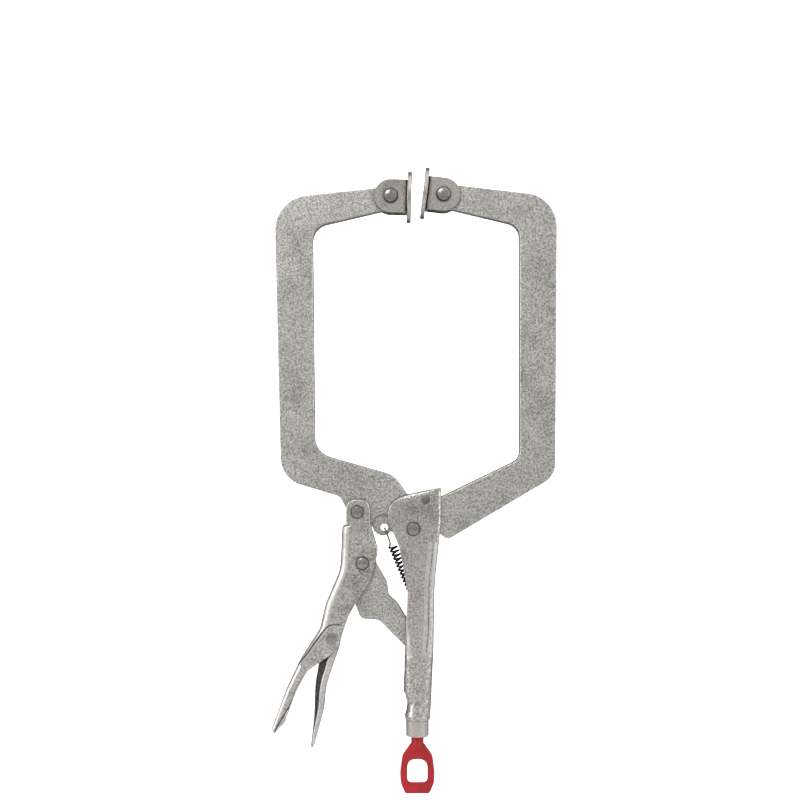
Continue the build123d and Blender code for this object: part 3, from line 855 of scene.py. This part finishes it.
# Right halves of the outlines, with x from the screw's axis
LOOP_OUTER = [(4.4, -379.6, 2.5), (10.5, -388.3, 9), (12.0, -399.8, 20), (11.6, -407.0, 8), (8.4, -414.3, 2)]
LOOP_HOLE = [(6.9, -390.6, 6.4), (6.9, -407.2, 3.4)]
LOOP_CENTRE = Vector((BUSHING_X, -398.6))
LOOP_HALF = 3.25
LOOP_ROUND = 1.9
LOOP_TOP = -375.3
LOOP_SECTIONS = 120
NECK_RADIUS = 4.5
NECK_ROWS = 40
NECK_ROW_STEP = 0.2
RIDGED_LENGTH = 7.0           # of the neck, where the screw's thread shows through the coat
RIDGE_DEPTH = 0.32 * MM


def both_sides(half_outline):
    """A whole outline from the right half of one that is symmetric about the screw."""
    right = [(BUSHING_X + x, z, r) for x, z, r in half_outline]
    return right + [(BUSHING_X - x, z, r) for x, z, r in reversed(half_outline)]


def reach_of(points, centre, angle):
    """How far an outline lies from a centre in one direction."""
    ray = Vector((math.cos(angle), math.sin(angle)))
    best = 0.0
    for a, b in zip(points, points[1:] + points[:1]):
        edge = b - a
        cross = ray.x * edge.y - ray.y * edge.x
        if abs(cross) < 1e-9:
            continue
        gap = a - centre
        along = (gap.x * edge.y - gap.y * edge.x) / cross
        share = (gap.x * ray.y - gap.y * ray.x) / cross
        if along > 0 and -1e-6 <= share <= 1 + 1e-6:
            best = max(best, along)
    return best


def loop_section(bm, hole, outer, angle):
    """The bar's section in one direction from the loop's centre."""
    across, upward = math.cos(angle), math.sin(angle)
    near, far = reach_of(hole, LOOP_CENTRE, angle), reach_of(outer, LOOP_CENTRE, angle)
    return [
        bm.verts.new(((LOOP_CENTRE.x + r * across) * MM, y * MM, (LOOP_CENTRE.y + r * upward) * MM))
        for r, y in soft_box(near, far, LOOP_HALF, LOOP_ROUND, 5)
    ]


def neck_ridges(height, radius, angle):
    down = (LOOP_TOP * MM - height) / MM
    if down > RIDGED_LENGTH:
        return radius
    phase = (down * MM / THREAD_PITCH + angle / (2 * math.pi)) % 1.0
    return radius - RIDGE_DEPTH * (0.5 + 0.5 * math.cos(2 * math.pi * phase))


def loop_mesh():
    """The dipped ring and its neck."""
    outer = rounded(both_sides(LOOP_OUTER), 8)
    hole = rounded(both_sides(LOOP_HOLE), 8)
    bm = bmesh.new()
    rings = [loop_section(bm, hole, outer, 2 * math.pi * i / LOOP_SECTIONS) for i in range(LOOP_SECTIONS)]
    for i in range(LOOP_SECTIONS):
        bridge(bm, rings[i], rings[(i + 1) % LOOP_SECTIONS])
    rows = [(LOOP_TOP, 3.1)]
    rows += [(LOOP_TOP - 0.05 - NECK_ROW_STEP * i, NECK_RADIUS) for i in range(NECK_ROWS)]
    rows += [(LOOP_TOP - 9.0, 3.6), (LOOP_TOP - 10.2, 1.4)]
    profile = [(z * MM, radius * MM) for z, radius in rows]
    lathe(bm, Vector((BUSHING_X * MM, 0, 0)), UPWARD, profile, 48, neck_ridges)
    return finish_mesh("loop_dipped", bm)


new_object("loop_dipped", loop_mesh(), "loop", [RED_COAT], "screw_loop")


# ---------------------------------------------------------------- studio

def studio_surface(name, colour):
    """Matt paper with the faintest mottling, dimmer towards the wall where metal mirrors it."""
    material = bpy.data.materials.new(name)
    nodes = Nodes(material)
    place = nodes.add("ShaderNodeTexCoord").outputs["Object"]
    mottle = nodes.noise(place, 6.0)
    tint = nodes.colours(mottle, [(0.3, shade(colour, 0.985)), (0.7, colour)])
    shader = nodes.add("ShaderNodeBsdfPrincipled", Roughness=0.9)
    nodes.join(tint, shader.inputs["Base Color"])
    dim = nodes.add("ShaderNodeBsdfDiffuse")
    path = nodes.add("ShaderNodeLightPath")
    split = nodes.add("ShaderNodeSeparateXYZ")
    nodes.join(place, split.inputs["Vector"])
    nodes.join(nodes.ramp(split.outputs["Y"], 0.40, 0.06, -0.15, 0.40), dim.inputs["Color"])
    either = nodes.add("ShaderNodeMixShader")
    nodes.join(path.outputs["Is Glossy Ray"], either.inputs["Fac"])
    nodes.join(shader.outputs["BSDF"], either.inputs[1])
    nodes.join(dim.outputs["BSDF"], either.inputs[2])
    nodes.output(either.outputs["Shader"])
    return material


FLOOR_DROP = 0.04             # more than the screw's travel, so the loop never meets the floor
SWEEP_RADIUS = 0.6
SWEEP_STEPS = 24
WALL_Y = 2.0
WALL_TOP = 2.6
HALF_STAGE = 3.5


def sweep_profile(floor_z):
    """Side view of the paper: floor, quarter bend and wall."""
    points = [(-HALF_STAGE, floor_z), (WALL_Y - SWEEP_RADIUS, floor_z)]
    for i in range(1, SWEEP_STEPS + 1):
        angle = math.pi / 2 * i / SWEEP_STEPS
        y = WALL_Y - SWEEP_RADIUS + SWEEP_RADIUS * math.sin(angle)
        points.append((y, floor_z + SWEEP_RADIUS * (1 - math.cos(angle))))
    points.append((WALL_Y, WALL_TOP))
    return points


def studio_sweep():
    bm = bmesh.new()
    rows = [
        (bm.verts.new((-HALF_STAGE, y, z)), bm.verts.new((HALF_STAGE, y, z)))
        for y, z in sweep_profile(cad_low.z - FLOOR_DROP)
    ]
    for (a, b), (c, d) in zip(rows, rows[1:]):
        bm.faces.new((a, b, d, c)).smooth = True
    mesh = finish_mesh("studio_sweep", bm)
    mesh.materials.append(studio_surface("studio_paper", (0.93, 0.93, 0.93)))
    obj = bpy.data.objects.new("studio_sweep", mesh)
    bpy.context.scene.collection.objects.link(obj)


def area_light(name, place, target, size, power, mirrored=True):
    """A soft rectangular light; one that isn't mirrored doesn't show in the metal."""
    data = bpy.data.lights.new(name, "AREA")
    data.shape = "RECTANGLE"
    data.size, data.size_y = size
    data.energy = power
    obj = bpy.data.objects.new(name, data)
    bpy.context.scene.collection.objects.link(obj)
    obj.location = place
    obj.rotation_euler = (Vector(target) - Vector(place)).to_track_quat("-Z", "Y").to_euler()
    obj.visible_glossy = mirrored


studio_sweep()
AIM = (-0.02, 0.0, -0.19)
area_light("key", (-0.7, -1.6, 1.1), AIM, (0.9, 0.9), 9.0)
area_light("fill_right", (1.3, -0.75, 0.1), AIM, (0.30, 1.5), 4.5)
area_light("fill_left", (-1.3, -0.6, -0.1), AIM, (0.35, 1.5), 6.0)
area_light("top", (0.0, 0.1, 1.5), AIM, (1.2, 0.5), 4.0, mirrored=False)
area_light("paper", (0.0, 0.9, 1.6), (0.0, 2.0, -0.1), (3.0, 0.6), 95.0, mirrored=False)

# Brightness of the room from straight in front of the object (0) to straight behind it (1)
ROOM = [(0.0, 0.54), (0.06, 0.62), (0.24, 1.10), (0.50, 1.15), (0.70, 0.40), (1.0, 0.10)]


def studio_world():
    """A room with large soft sides and front, dim behind the object."""
    world = bpy.data.worlds.new("studio_world")
    world.use_nodes = True
    tree = world.node_tree
    back = tree.nodes["Background"]
    place = tree.nodes.new("ShaderNodeTexCoord")
    split = tree.nodes.new("ShaderNodeSeparateXYZ")
    share = tree.nodes.new("ShaderNodeMapRange")
    band = tree.nodes.new("ShaderNodeValToRGB")
    tree.links.new(place.outputs["Generated"], split.inputs["Vector"])
    tree.links.new(split.outputs["Y"], share.inputs["Value"])
    share.inputs["From Min"].default_value = -1.0
    share.inputs["From Max"].default_value = 1.0
    tree.links.new(share.outputs["Result"], band.inputs["Fac"])
    while len(band.color_ramp.elements) < len(ROOM):
        band.color_ramp.elements.new(0.5)
    for element, (position, level) in zip(band.color_ramp.elements, ROOM):
        element.position = position
        element.color = (level, level * 0.99, level * 0.975, 1.0)
    tree.links.new(band.outputs["Color"], back.inputs["Color"])
    bpy.context.scene.world = world


studio_world()
bpy.context.scene.view_settings.view_transform = "Standard"

CAMERA_LENS = 55.8
CAMERA_PLACE = (-0.0157, -0.857, -0.1428)

camera_data = bpy.data.cameras.new("camera")
camera_data.lens = CAMERA_LENS
camera_data.sensor_width = 36.0
camera = bpy.data.objects.new("camera", camera_data)
bpy.context.scene.collection.objects.link(camera)
camera.location = CAMERA_PLACE
camera.rotation_euler = (math.pi / 2, 0.0, 0.0)
bpy.context.scene.camera = camera
